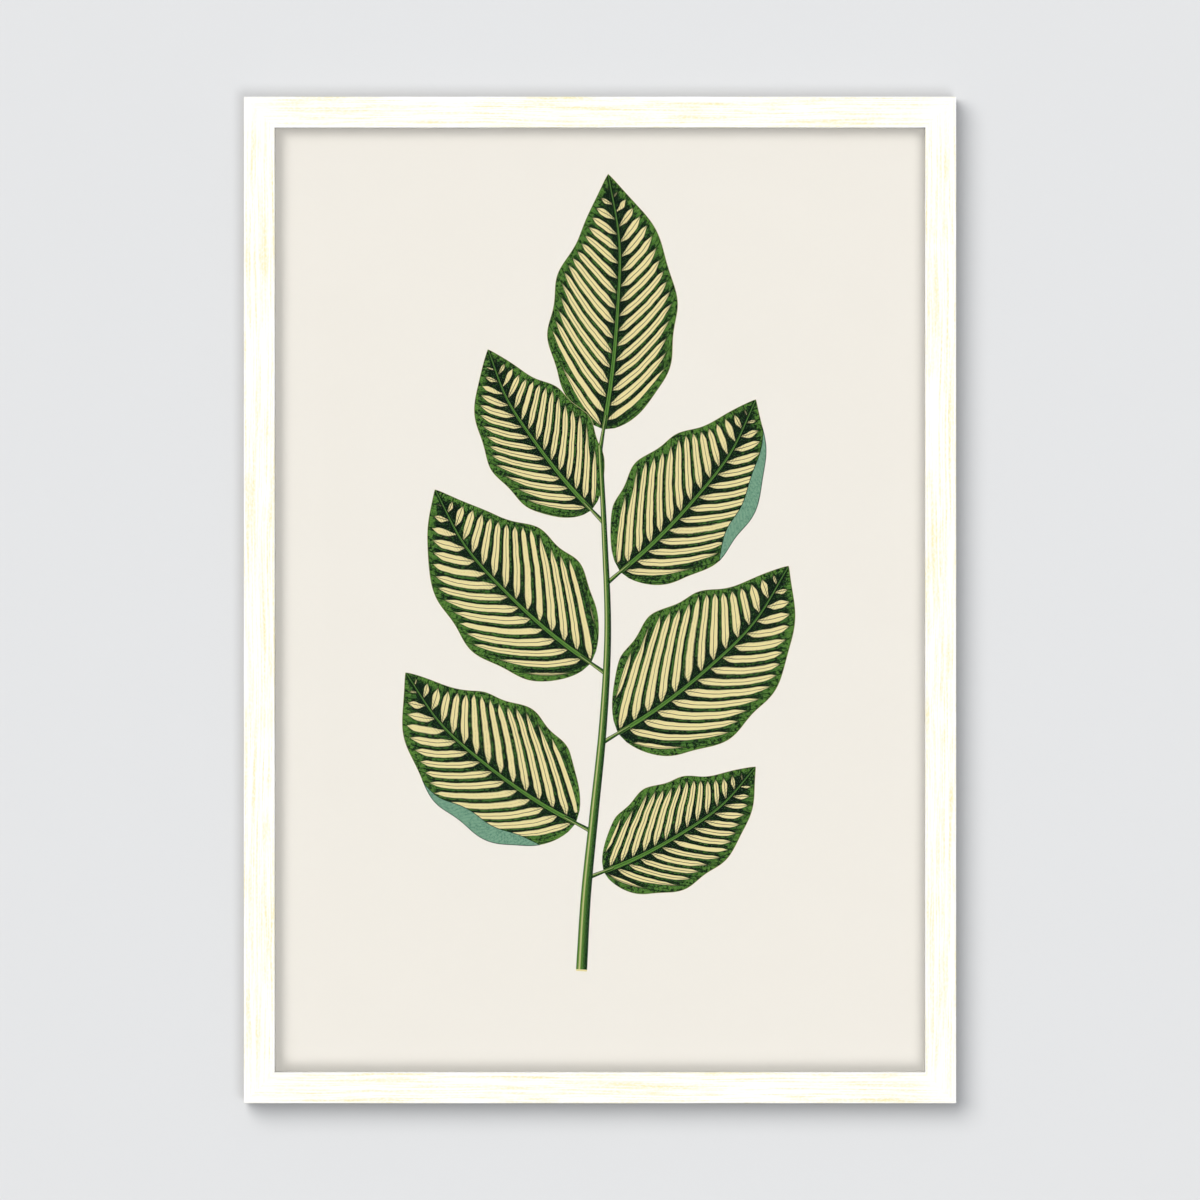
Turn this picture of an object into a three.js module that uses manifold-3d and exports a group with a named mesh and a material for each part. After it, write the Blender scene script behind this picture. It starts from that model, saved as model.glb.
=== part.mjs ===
// A framed print: four mitred wooden rails hold glass, a printed sheet, a card filler and a backing board.
// Turn buttons on the back lock the board in, and a sawtooth hanger carries the whole on a nail in the wall.
// Millimetres, +Z up. The picture looks towards -Y, and the wall is on the +Y side.
// Inside the group, X and Z are counted from the middle of the frame and Y from the backs of the rails.

import * as THREE from "three";
import { mergeVertices } from "three/addons/utils/BufferGeometryUtils.js";
import Module from "manifold-3d";

const wasm = await Module();
wasm.setup();

// Frame moulding
const frameWidth = 460;
const frameHeight = 650;
const faceWidth = 20; // seen from the front
const lipThickness = 7; // wood in front of the glass
const lipOverlap = 6; // how far the lip covers the glass
const glueLine = 0.1; // between the two cut faces of a mitre

// Sheets in the rebate, front to back
const sheetClearance = 1; // all round, to the rebate's wall
const glassThickness = 2;
const printThickness = 0.25;
const cardThickness = 4.75;
const boardThickness = 3;

// Turn buttons and their screws
const buttonSpread = { short: 110, long: 185 }; // from the middle of a rail, for short and long rails
const buttonWidth = 10;
const buttonReach = 20; // pivot to tip
const buttonTipRadius = 3;
const buttonThickness = 0.75;
const buttonHoleRadius = 2;
const runningGap = 0.25; // under the button, and between it and the screw's head
const screwRadius = 1.5;
const screwLength = 12; // below the rail's surface
const screwPointLength = 3;
const screwHeadRadius = 3.25;
const screwHeadHeight = 1.5;
const screwRimHeight = 0.5;
const screwCrown = { outer: 2.6, inner: 1.5, fall: 0.3 }; // radii where the head's top rounds off
const screwSlot = { length: 3.5, width: 0.8, depth: 0.75 };

// Sawtooth hanger, a bent strip with its teeth downwards
const hangerLength = 62;
const hangerHeight = 9;
const hangerThickness = 1;
const hangerStandoff = 1.75; // the raised middle leaves room for a nail's head
const hangerFoot = 9; // flat on the rail at each end
const hangerRamp = 3;
const hangerDrop = 2; // from the frame's top edge to the strip
const toothPitch = 2.5;
const toothDepth = 1.5;
const toothCount = 13;

// Round nails through the hanger's feet
const nailRadius = 0.75;
const nailLength = 10;
const nailPointLength = 2;
const nailHeadRadius = 1.9;
const nailHeadHeight = 0.75;
const nailInset = 4.5; // from the strip's end

// V-shaped wedges driven into the back of each mitre
const wedgeLeg = 5;
const wedgeThickness = 0.6;
const wedgeHeight = 8;
const wedgeSink = 0.25; // below the rail's surface
const wedgeInsets = [3, 9]; // from the frame's outer edges to each wedge's corner

// Rubber feet that hold the lower edge off the wall
const bumperRadius = 5.5;
const bumperThickness = 3;
const bumperChamfer = 0.75;
const bumperInset = 25; // from the frame's side

const holeGap = 0.3; // round a shank or wedge in the wood
const overshoot = 1; // how far a cutter runs past the face it opens
const roundSides = 24;

const railDepth = lipThickness + glassThickness + printThickness + cardThickness + boardThickness;
const backWidth = faceWidth - lipOverlap; // the part of the rail beside the rebate
const frontFace = -railDepth;
const sheetWidth = frameWidth - 2 * (backWidth + sheetClearance);
const sheetHeight = frameHeight - 2 * (backWidth + sheetClearance);
const hangerTop = frameHeight / 2 - hangerDrop;
const hangerBottom = hangerTop - hangerHeight;

const whitewashedWood = new THREE.MeshStandardMaterial({ color: 0xfcf9ec, roughness: 0.6 });
const clearGlass = new THREE.MeshStandardMaterial({
  color: 0xf4f8f6,
  roughness: 0.05,
  transparent: true,
  opacity: 0.12,
});
const artPaper = new THREE.MeshStandardMaterial({ color: 0xf1ede4, roughness: 0.9 });
const greyCard = new THREE.MeshStandardMaterial({ color: 0xb29a74, roughness: 0.95 });
const hardboard = new THREE.MeshStandardMaterial({ color: 0x8d6b48, roughness: 0.8 });
const zincSteel = new THREE.MeshStandardMaterial({ color: 0xb9bcc0, roughness: 0.35, metalness: 1 });
const brightSteel = new THREE.MeshStandardMaterial({ color: 0xcfd0d2, roughness: 0.3, metalness: 1 });
const clearRubber = new THREE.MeshStandardMaterial({ color: 0xd9d6cd, roughness: 0.5 });

function toSolid(geometry) {
  const bare = geometry.clone();
  bare.deleteAttribute("normal");
  bare.deleteAttribute("uv");
  const merged = mergeVertices(bare);
  const vertProperties = new Float32Array(merged.attributes.position.array);
  const triVerts = new Uint32Array(merged.index.array);
  return new wasm.Manifold(new wasm.Mesh({ numProp: 3, vertProperties, triVerts }));
}

function toGeometry(solid) {
  const mesh = solid.getMesh();
  const geometry = new THREE.BufferGeometry();
  geometry.setAttribute("position", new THREE.BufferAttribute(mesh.vertProperties, 3));
  geometry.setIndex(new THREE.BufferAttribute(mesh.triVerts, 1));
  geometry.computeVertexNormals();
  return geometry;
}

function cutAway(geometry, cutters) {
  let solid = toSolid(geometry);
  for (const cutter of cutters) {
    solid = solid.subtract(toSolid(cutter));
  }
  return toGeometry(solid);
}

function outline(points) {
  return new THREE.Shape(points.map(([x, y]) => new THREE.Vector2(x, y)));
}

// An outline drawn in (x, z), made into a plate that starts at y and grows towards +Y.
function plate(shape, y, thickness) {
  const geometry = new THREE.ExtrudeGeometry(shape, { depth: thickness, bevelEnabled: false });
  geometry.rotateX(Math.PI / 2);
  geometry.translate(0, y + thickness, 0);
  return geometry;
}

function turned(points) {
  const profile = points.map(([radius, y]) => new THREE.Vector2(radius, y));
  return new THREE.LatheGeometry(profile, roundSides);
}

function blindHole(x, z, radius, depth) {
  const hole = new THREE.CylinderGeometry(radius, radius, depth + overshoot, roundSides);
  hole.translate(x, (overshoot - depth) / 2, z);
  return hole;
}

// A rail as it lies along the top edge: an L-section whose ends are slid to 45 degrees.
function mitredRail(length, reach) {
  const section = outline([
    [0, frontFace],
    [faceWidth, frontFace],
    [faceWidth, frontFace + lipThickness],
    [backWidth, frontFace + lipThickness],
    [backWidth, 0],
    [0, 0],
  ]);
  const geometry = new THREE.ExtrudeGeometry(section, { depth: 1, bevelEnabled: false });
  const place = geometry.attributes.position;
  for (let i = 0; i < place.count; i++) {
    const across = place.getX(i);
    const halfLength = length / 2 - across - glueLine / 2;
    const along = place.getZ(i) === 0 ? -halfLength : halfLength;
    place.setXYZ(i, along, place.getY(i), reach - across);
  }
  return geometry;
}

// A wedge at the right-hand end of the top rail: one leg runs back along each of the two rails.
function wedgeOutline(length, reach, inset, grow) {
  const x = length / 2 - inset + grow;
  const z = reach - inset + grow;
  const leg = wedgeLeg + 2 * grow;
  const thick = wedgeThickness + 2 * grow;
  return outline([
    [x, z],
    [x - leg, z],
    [x - leg, z - thick],
    [x - thick, z - thick],
    [x - thick, z - leg],
    [x, z - leg],
  ]);
}

function wedgePlate(length, reach, inset) {
  return plate(wedgeOutline(length, reach, inset, 0), -wedgeSink - wedgeHeight, wedgeHeight);
}

// The slot that a wedge sits in, open at the back of the rail.
function wedgeSlot(length, reach, inset) {
  const depth = wedgeSink + wedgeHeight + holeGap;
  return plate(wedgeOutline(length, reach, inset, holeGap), -depth, depth + overshoot);
}

function turnButton() {
  const half = buttonWidth / 2;
  const cornerX = half - buttonTipRadius;
  const cornerZ = buttonTipRadius - buttonReach;
  const shape = new THREE.Shape();
  shape.absarc(0, 0, half, 0, Math.PI, false);
  shape.absarc(-cornerX, cornerZ, buttonTipRadius, Math.PI, 1.5 * Math.PI, false);
  shape.absarc(cornerX, cornerZ, buttonTipRadius, 1.5 * Math.PI, 2 * Math.PI, false);
  const hole = new THREE.Path();
  hole.absarc(0, 0, buttonHoleRadius, 0, 2 * Math.PI, true);
  shape.holes.push(hole);
  return plate(shape, runningGap, buttonThickness);
}

function pivotScrew() {
  const headBase = 2 * runningGap + buttonThickness;
  const headTop = headBase + screwHeadHeight;
  const body = turned([
    [0, -screwLength],
    [screwRadius, screwPointLength - screwLength],
    [screwRadius, headBase],
    [screwHeadRadius, headBase],
    [screwHeadRadius, headBase + screwRimHeight],
    [screwCrown.outer, headTop - screwCrown.fall],
    [screwCrown.inner, headTop],
    [0, headTop],
  ]);
  const slots = [0, 1].map((turn) => {
    const bar = new THREE.BoxGeometry(screwSlot.length, 2 * screwSlot.depth, screwSlot.width);
    bar.rotateY((turn * Math.PI) / 2);
    bar.translate(0, headTop, 0);
    return bar;
  });
  return cutAway(body, slots);
}

function hangerNail() {
  return turned([
    [0, hangerThickness - nailLength],
    [nailRadius, hangerThickness - nailLength + nailPointLength],
    [nailRadius, hangerThickness],
    [nailHeadRadius, hangerThickness],
    [nailHeadRadius, hangerThickness + nailHeadHeight],
    [0, hangerThickness + nailHeadHeight],
  ]);
}

const nailX = hangerLength / 2 - nailInset;
const nailZ = hangerTop - hangerHeight / 2;

function sawtoothHanger() {
  const end = hangerLength / 2;
  const footEnd = end - hangerFoot;
  const raisedEnd = footEnd - hangerRamp;
  const under = [
    [-end, 0],
    [-footEnd, 0],
    [-raisedEnd, hangerStandoff],
    [raisedEnd, hangerStandoff],
    [footEnd, 0],
    [end, 0],
  ];
  const over = under.map(([x, y]) => [x, y + hangerThickness]).reverse();
  const strip = new THREE.ExtrudeGeometry(outline([...under, ...over]), {
    depth: hangerHeight,
    bevelEnabled: false,
  });
  strip.translate(0, 0, hangerBottom);

  const teethEnd = (toothCount * toothPitch) / 2;
  const below = hangerBottom - overshoot;
  const zigzag = [[-teethEnd, below]];
  for (let i = 0; i < toothCount; i++) {
    const start = -teethEnd + i * toothPitch;
    zigzag.push([start, hangerBottom]);
    zigzag.push([start + toothPitch / 2, hangerBottom + toothDepth]);
  }
  zigzag.push([teethEnd, hangerBottom]);
  zigzag.push([teethEnd, below]);
  const notches = plate(outline(zigzag), -overshoot, hangerStandoff + hangerThickness + 2 * overshoot);

  const holeRadius = nailRadius + holeGap;
  const holeLength = 2 * (hangerThickness + overshoot);
  const holes = [-nailX, nailX].map((x) => {
    const hole = new THREE.CylinderGeometry(holeRadius, holeRadius, holeLength, roundSides);
    hole.translate(x, 0, nailZ);
    return hole;
  });
  return cutAway(strip, [notches, ...holes]);
}

function bumper() {
  return turned([
    [0, 0],
    [bumperRadius, 0],
    [bumperRadius, bumperThickness - bumperChamfer],
    [bumperRadius - bumperChamfer, bumperThickness],
    [0, bumperThickness],
  ]);
}

function add(parent, name, geometry, material, x = 0, y = 0, z = 0) {
  const mesh = new THREE.Mesh(geometry, material);
  mesh.name = name;
  mesh.position.set(x, y, z);
  parent.add(mesh);
  return mesh;
}

const picture = new THREE.Group();

// Each side is built as the top one, then turned about Y by quarters. Names are as seen from the front.
const sides = [
  { name: "top", next: "right", length: frameWidth, reach: frameHeight / 2, spread: buttonSpread.short },
  { name: "right", next: "bottom", length: frameHeight, reach: frameWidth / 2, spread: buttonSpread.long },
  { name: "bottom", next: "left", length: frameWidth, reach: frameHeight / 2, spread: buttonSpread.short },
  { name: "left", next: "top", length: frameHeight, reach: frameWidth / 2, spread: buttonSpread.long },
];

sides.forEach(({ name, next, length, reach, spread }, quarter) => {
  const side = new THREE.Group();
  side.rotation.y = (quarter * Math.PI) / 2;
  picture.add(side);

  const pivotZ = reach - backWidth / 2;
  const pivots = [-spread, spread];
  const cutters = pivots.map((x) => blindHole(x, pivotZ, screwRadius + holeGap, screwLength + holeGap));
  for (const inset of wedgeInsets) {
    cutters.push(wedgeSlot(length, reach, inset));
    const farSlot = wedgeSlot(2 * reach, length / 2, inset);
    farSlot.rotateY(-Math.PI / 2);
    cutters.push(farSlot);
  }
  if (name === "top") {
    for (const x of [-nailX, nailX]) {
      cutters.push(blindHole(x, nailZ, nailRadius + holeGap, nailLength - hangerThickness + holeGap));
    }
  }
  add(side, `rail_${name}`, cutAway(mitredRail(length, reach), cutters), whitewashedWood);

  pivots.forEach((x, i) => {
    add(side, `turn_button_${name}_${i + 1}`, turnButton(), zincSteel, x, 0, pivotZ);
    add(side, `pivot_screw_${name}_${i + 1}`, pivotScrew(), brightSteel, x, 0, pivotZ);
  });
  wedgeInsets.forEach((inset, i) => {
    add(side, `corner_wedge_${name}_${next}_${i + 1}`, wedgePlate(length, reach, inset), brightSteel);
  });
});

const sheets = [
  ["glass", glassThickness, clearGlass],
  ["print", printThickness, artPaper],
  ["backing_card", cardThickness, greyCard],
  ["backing_board", boardThickness, hardboard],
];
let sheetFront = frontFace + lipThickness;
for (const [name, thickness, material] of sheets) {
  const box = new THREE.BoxGeometry(sheetWidth, thickness, sheetHeight);
  add(picture, name, box, material, 0, sheetFront + thickness / 2, 0);
  sheetFront += thickness;
}

add(picture, "sawtooth_hanger", sawtoothHanger(), zincSteel);
[-nailX, nailX].forEach((x, i) => {
  add(picture, `hanger_nail_${i + 1}`, hangerNail(), brightSteel, x, 0, nailZ);
});

["left", "right"].forEach((name, i) => {
  const x = (i === 0 ? -1 : 1) * (frameWidth / 2 - bumperInset);
  add(picture, `bumper_${name}`, bumper(), clearRubber, x, 0, backWidth / 2 - frameHeight / 2);
});

// The origin is where the wall's nail carries the hanger: its middle notch, half-way through the strip.
const notchZ = hangerBottom + toothDepth;
picture.position.set(0, -hangerStandoff - hangerThickness / 2, -notchZ);
const framedPrint = new THREE.Group();
framedPrint.add(picture);

export default framedPrint;
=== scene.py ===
import math
import random
from functools import partial

import bmesh
import bpy
import numpy as np
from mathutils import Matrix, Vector


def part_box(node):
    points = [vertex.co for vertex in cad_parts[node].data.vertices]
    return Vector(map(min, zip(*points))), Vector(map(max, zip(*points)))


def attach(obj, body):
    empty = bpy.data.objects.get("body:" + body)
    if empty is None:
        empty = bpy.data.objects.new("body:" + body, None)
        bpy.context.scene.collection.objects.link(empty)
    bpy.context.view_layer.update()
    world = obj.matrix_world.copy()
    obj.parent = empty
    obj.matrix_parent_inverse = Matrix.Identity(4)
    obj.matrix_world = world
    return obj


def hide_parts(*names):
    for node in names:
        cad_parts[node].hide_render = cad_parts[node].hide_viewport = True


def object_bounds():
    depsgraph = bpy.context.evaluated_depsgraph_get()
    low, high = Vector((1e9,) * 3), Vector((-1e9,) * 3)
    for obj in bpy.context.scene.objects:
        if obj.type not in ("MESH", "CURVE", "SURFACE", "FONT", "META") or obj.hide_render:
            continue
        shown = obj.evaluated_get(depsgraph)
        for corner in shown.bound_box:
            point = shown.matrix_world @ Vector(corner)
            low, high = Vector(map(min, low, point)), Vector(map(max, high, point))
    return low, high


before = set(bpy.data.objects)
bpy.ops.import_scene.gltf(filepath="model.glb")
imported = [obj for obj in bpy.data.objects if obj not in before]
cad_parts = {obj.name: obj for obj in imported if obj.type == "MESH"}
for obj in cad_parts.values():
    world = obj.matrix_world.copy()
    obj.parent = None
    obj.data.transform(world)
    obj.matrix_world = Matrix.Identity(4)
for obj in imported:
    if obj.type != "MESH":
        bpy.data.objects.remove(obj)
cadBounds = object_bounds()

mm = 0.001
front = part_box("rail_top")[0].y  # the moulding's face
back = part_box("rail_top")[1].y
left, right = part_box("rail_left")[0].x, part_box("rail_right")[1].x
bottom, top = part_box("rail_bottom")[0].z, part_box("rail_top")[1].z
middle = Vector(((left + right) / 2, 0, (bottom + top) / 2))


# a node's output that can be reckoned with: a * b makes the Math node that multiplies the two
class Wire:
    def __init__(self, socket):
        self.socket = socket

    def __abs__(self):
        return calc("ABSOLUTE", self)


def reckoner(operation, swapped=False):
    def reckon(wire, other):
        return calc(operation, other, wire) if swapped else calc(operation, wire, other)
    return reckon


signs = {"add": "ADD", "sub": "SUBTRACT", "mul": "MULTIPLY", "truediv": "DIVIDE", "pow": "POWER",
         "mod": "MODULO", "gt": "GREATER_THAN", "lt": "LESS_THAN"}
for sign, operation in signs.items():
    setattr(Wire, f"__{sign}__", reckoner(operation))
    setattr(Wire, f"__r{sign}__", reckoner(operation, swapped=True))


def plug(value, socket):
    if isinstance(value, Wire):
        socket.id_data.links.new(value.socket, socket)
    else:
        socket.default_value = value


def addNode(tree, kind, inputs=None, **settings):
    node = tree.nodes.new(kind)
    for key, value in settings.items():
        setattr(node, key, value)
    for key, value in (inputs or {}).items():
        plug(value, node.inputs[key])
    return node


# adds a node and gives one of its outputs
def newWire(tree, kind, inputs=None, output=0, **settings):
    return Wire(addNode(tree, kind, inputs, **settings).outputs[output])


# the node tree that the wires among some values belong to
def treeOf(*values):
    return next(value.socket.id_data for value in values if isinstance(value, Wire))


def calc(operation, *values, clamp=False):
    inputs = dict(enumerate(values))
    return newWire(treeOf(*values), "ShaderNodeMath", inputs, operation=operation, use_clamp=clamp)


# a smooth step between two values; low may be above high
def ease(value, low, high, start=0.0, end=1.0):
    inputs = dict(enumerate((value, low, high, start, end)))
    return newWire(treeOf(value), "ShaderNodeMapRange", inputs, interpolation_type="SMOOTHSTEP")


# 1 where a value is under a limit, with a soft edge
def under(value, limit, softness):
    return ease(value, limit + softness, limit - softness)


# 0 halfway between two whole numbers and 0.5 at each of them
def offMiddle(value):
    return abs(calc("FRACT", value) - 0.5)


def point(x, y, z):
    return newWire(treeOf(x, y, z), "ShaderNodeCombineXYZ", {0: x, 1: y, 2: z})


def axes(vector):
    return [Wire(output) for output in addNode(treeOf(vector), "ShaderNodeSeparateXYZ", {0: vector}).outputs]


def scaled(vector, amount):
    return newWire(treeOf(vector), "ShaderNodeVectorMath", {0: vector, 3: amount}, operation="SCALE")


def movedBy(vector, step):
    return newWire(treeOf(vector), "ShaderNodeVectorMath", {0: vector, 1: step}, operation="ADD")


def noise(vector, scale, detail=2.0, roughness=0.5):
    inputs = {"Vector": vector, "Scale": scale, "Detail": detail, "Roughness": roughness}
    return newWire(treeOf(vector), "ShaderNodeTexNoise", inputs)


def tint(factor, first, second):
    first, second = (colour if isinstance(colour, Wire) else (*colour, 1) for colour in (first, second))
    return newWire(treeOf(factor), "ShaderNodeMix", {0: factor, 6: first, 7: second}, 2, data_type="RGBA")


# a colour as the eye reads it, 0 to 255, made linear and divided by the light that falls on it
def srgb(red, green, blue, light=1.0):
    def linear(value):
        value /= 255
        return value / 12.92 if value <= 0.04045 else ((value + 0.055) / 1.055) ** 2.4
    return tuple(linear(value) / light for value in (red, green, blue))


# a material; its pattern is a function that makes nodes and gives what goes into the shader's sockets
def newMaterial(pattern, name="", **look):
    material = bpy.data.materials.new(name or pattern.__name__)
    material.use_nodes = True
    shader = material.node_tree.nodes["Principled BSDF"]
    for key, value in pattern(partial(newWire, material.node_tree), **look).items():
        plug(value, shader.inputs[key])
    return material


# object coordinates in millimetres
def objectPlace(make):
    return scaled(make("ShaderNodeTexCoord", output="Object"), 1000.0)


def readValues(make, names):
    return [make("ShaderNodeAttribute", output="Fac", attribute_name=name) for name in names.split()]


def bump(height, distance, strength):
    inputs = {"Height": height, "Distance": distance, "Strength": strength}
    return newWire(treeOf(height), "ShaderNodeBump", inputs)


def newObject(name, data):
    piece = bpy.data.objects.new(name, data)
    bpy.context.scene.collection.objects.link(piece)
    return piece


def meshObject(name, points, faces, material=None, values=None, smooth=False, edges=()):
    mesh = bpy.data.meshes.new(name)
    mesh.from_pydata(points, edges, faces)
    for key, numbers in (values or {}).items():
        layer = mesh.attributes.new(key, "FLOAT", "POINT")
        layer.data.foreach_set("value", np.asarray(numbers, np.float32))
    if material:
        mesh.materials.append(material)
    if smooth:
        mesh.shade_smooth()
    return newObject(name, mesh)


# the faces that close two layers of points into one skin; with closed, each row is a ring
def skinFaces(rows, columns, start=0, closed=False):
    wide = columns if closed else columns + 1
    faces = []

    def at(layer, i, j):
        return start + (layer * (rows + 1) + i) * wide + j % wide

    for i in range(rows):
        for j in range(columns):
            faces.append((at(0, i, j), at(0, i, j + 1), at(0, i + 1, j + 1), at(0, i + 1, j)))
            faces.append((at(1, i, j), at(1, i + 1, j), at(1, i + 1, j + 1), at(1, i, j + 1)))
        if not closed:
            faces.append((at(0, i, 0), at(0, i + 1, 0), at(1, i + 1, 0), at(1, i, 0)))
            faces.append((at(0, i, columns), at(1, i, columns), at(1, i + 1, columns), at(0, i + 1, columns)))
    for j in range(columns):
        faces.append((at(0, 0, j), at(1, 0, j), at(1, 0, j + 1), at(0, 0, j + 1)))
        faces.append((at(0, rows, j), at(0, rows, j + 1), at(1, rows, j + 1), at(1, rows, j)))
    return faces


def dress(piece, body, slot, *nodes):
    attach(piece, body)
    if nodes:
        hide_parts(*nodes)


def repaint(mesh, material):
    mesh.materials.clear()
    mesh.materials.append(material)


# a geometry node tree with named inputs, each for a number unless it is told otherwise
def newTree(name, labels, **kinds):
    tree = bpy.data.node_groups.new(name, "GeometryNodeTree")
    for label in ("Geometry", *labels, "Material"):
        kind = label if label in ("Geometry", "Material") else kinds.get(label, "Float")
        tree.interface.new_socket(label, in_out="INPUT", socket_type="NodeSocket" + kind)
    tree.interface.new_socket("Geometry", in_out="OUTPUT", socket_type="NodeSocketGeometry")
    given = tree.nodes.new("NodeGroupInput").outputs
    return partial(newWire, tree), {output.name: Wire(output) for output in given if output.name}


def endTree(geometry, given):
    tree = treeOf(geometry)
    real = newWire(tree, "GeometryNodeRealizeInstances", {0: geometry})
    painted = newWire(tree, "GeometryNodeSetMaterial", {"Geometry": real, "Material": given["Material"]})
    plug(painted, tree.nodes.new("NodeGroupOutput").inputs[0])
    return tree


def joined(*parts):
    node = addNode(treeOf(*parts), "GeometryNodeJoinGeometry")
    for part in parts:
        plug(part, node.inputs[0])
    return Wire(node.outputs[0])


# runs a node tree on a piece and keeps the result as a plain mesh
def growMesh(piece, tree, settings):
    modifier = piece.modifiers.new(tree.name, "NODES")
    modifier.node_group = tree
    for item in tree.interface.items_tree:
        if item.in_out == "INPUT" and item.name in settings:
            modifier[item.identifier] = settings[item.name]
    applyModifiers(piece)


def applyModifiers(piece):
    bpy.context.view_layer.update()
    graph = bpy.context.evaluated_depsgraph_get()
    result = bpy.data.meshes.new_from_object(
        piece.evaluated_get(graph), preserve_all_data_layers=True, depsgraph=graph)
    piece.modifiers.clear()
    piece.data = result


view = {
    "lens": 300,
    "sensor": 36,
    "clipEnd": 60,
    "pictureWidth": 0.7748,  # what the photograph's width spans at the moulding's face
    "sunDistance": 3,
    "spotDistance": 0.4,
    "wallGap": 0.05 * mm,  # behind the feet
    "wallHalf": 1.4,
    "wallReach": 8 * mm,  # nearer than this the wall is clear, so that it does not darken the back
    "floorDrop": 1.0,
    "floorHalf": 16,
}

cameraData = bpy.data.cameras.new("camera")
cameraData.lens = view["lens"]
cameraData.sensor_width = view["sensor"]
cameraData.clip_end = view["clipEnd"]
camera = newObject("camera", cameraData)
cameraDistance = view["pictureWidth"] * view["lens"] / view["sensor"]
camera.location = (middle.x, front - cameraDistance, middle.z)
camera.rotation_euler = (math.pi / 2, 0, 0)
bpy.context.scene.camera = camera
bpy.context.scene.view_settings.view_transform = "Standard"
bpy.context.scene.view_settings.look = "None"

# the print lies closer behind the moulding's face than the wall does, and has suns of its own
straightOn = (0.0, 1.0, 0.0)
suns = {
    "key": {"toward": (0.447, 1.0, -0.438), "strength": 2.387, "spread": 46,
            "colour": (1.012, 1.0, 0.983), "lights": "room"},
    "fill": {"toward": (-0.216, 1.0, 0.277), "strength": 0.938, "spread": 25,
             "colour": (0.98, 1.0, 1.026), "lights": "room"},
    "printKey": {"toward": (0.73, 1.0, -0.53), "strength": 1.757, "spread": 32,
                 "colour": (1.008, 1.0, 0.99), "lights": "print", "bounces": 1},
    "printFill": {"toward": (-0.40, 1.0, 0.65), "strength": 1.80, "spread": 34,
                  "lights": "print", "bounces": 1},
    "printFront": {"toward": straightOn, "strength": 0.41, "spread": 12, "lights": "print", "bounces": 1},
    # spots over the opening's corners that both slanting suns of the print miss
    "highCorner": {"toward": straightOn, "strength": 2.3, "spread": 1.55, "lights": "print",
                   "over": (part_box("rail_right")[0].x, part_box("rail_top")[0].z)},
    "lowCorner": {"toward": straightOn, "strength": 2.4, "spread": 2.5, "lights": "print",
                  "over": (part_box("rail_left")[1].x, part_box("rail_bottom")[1].z)},
    "rear": {"toward": (0.45, -1.0, -0.55), "strength": 2.2, "spread": 36},
    "side": {"toward": (-1.0, -0.10, -0.35), "strength": 1.15, "spread": 8},
}
lamps = {}
for name, sun in suns.items():
    isSpot = "over" in sun
    toward = Vector(sun["toward"])
    lampData = bpy.data.lights.new(name, "SPOT" if isSpot else "SUN")
    lampData.energy = sun["strength"]
    lampData.color = sun.get("colour", (1.0, 1.0, 1.0))
    lampData.cycles.max_bounces = sun.get("bounces", 0)  # at 0 the rails' shadows stay dark
    lamps[name] = newObject(name, lampData)
    lamps[name].rotation_euler = toward.to_track_quat("-Z", "Y").to_euler()
    if isSpot:
        overX, overZ = sun["over"]
        lamps[name].location = (overX, front - view["spotDistance"], overZ)
        lampData.spot_size = math.radians(sun["spread"])
        lampData.spot_blend = 1.0
        lampData.shadow_soft_size = 1 * mm
    else:
        lamps[name].location = toward * -view["sunDistance"]
        lampData.angle = math.radians(sun["spread"])

daylight = {"seen": srgb(230, 231, 232), "cast": (0.227, 0.238, 0.256)}
world = bpy.data.worlds.new("studio")
bpy.context.scene.world = world
world.use_nodes = True
path = addNode(world.node_tree, "ShaderNodeLightPath").outputs
seen = calc("MAXIMUM", Wire(path["Is Camera Ray"]), Wire(path["Is Glossy Ray"]))
plug(tint(seen, daylight["cast"], daylight["seen"]), world.node_tree.nodes["Background"].inputs["Color"])


# seen only from the front, and from a little way off
def wallPaint(make):
    clear = make("ShaderNodeBsdfTransparent")
    nodes = treeOf(clear).nodes
    away = make("ShaderNodeNewGeometry", output="Backfacing")
    rayLength = make("ShaderNodeLightPath", output="Ray Length")
    unseen = calc("MAXIMUM", away, rayLength < view["wallReach"])
    paint = Wire(nodes["Principled BSDF"].outputs[0])
    oneSided = make("ShaderNodeMixShader", {0: unseen, 1: paint, 2: clear})
    plug(oneSided, nodes["Material Output"].inputs[0])
    mottle = ease(noise(objectPlace(make), 0.02, 3), 0.3, 0.7)
    colour = tint(mottle, (0.709, 0.713, 0.717), (0.711, 0.715, 0.719))
    return {"Base Color": colour, "Roughness": 0.95, "Specular IOR Level": 0.0}


def floorPaint(make):
    return {"Base Color": (0.45, 0.45, 0.445, 1), "Roughness": 0.8}


squareCorners = (-1, -1), (1, -1), (1, 1), (-1, 1)
half = view["wallHalf"]
wallY = cadBounds[1][1] + view["wallGap"]
wallPoints = [(x * half, wallY, middle.z + z * half) for x, z in squareCorners]
wall = meshObject("wall", wallPoints, [(0, 1, 2, 3)], newMaterial(wallPaint))
wall.visible_shadow = False  # so that the lights behind it reach the frame's back
wall.visible_glossy = False

half = view["floorHalf"]
floorPoints = [(x * half, y * half, bottom - view["floorDrop"]) for x, y in squareCorners]
floor = meshObject("floor", floorPoints, [(0, 1, 2, 3)], newMaterial(floorPaint))
floor.visible_shadow = False  # the fill light comes from below
print("stage and lights ready")


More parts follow.
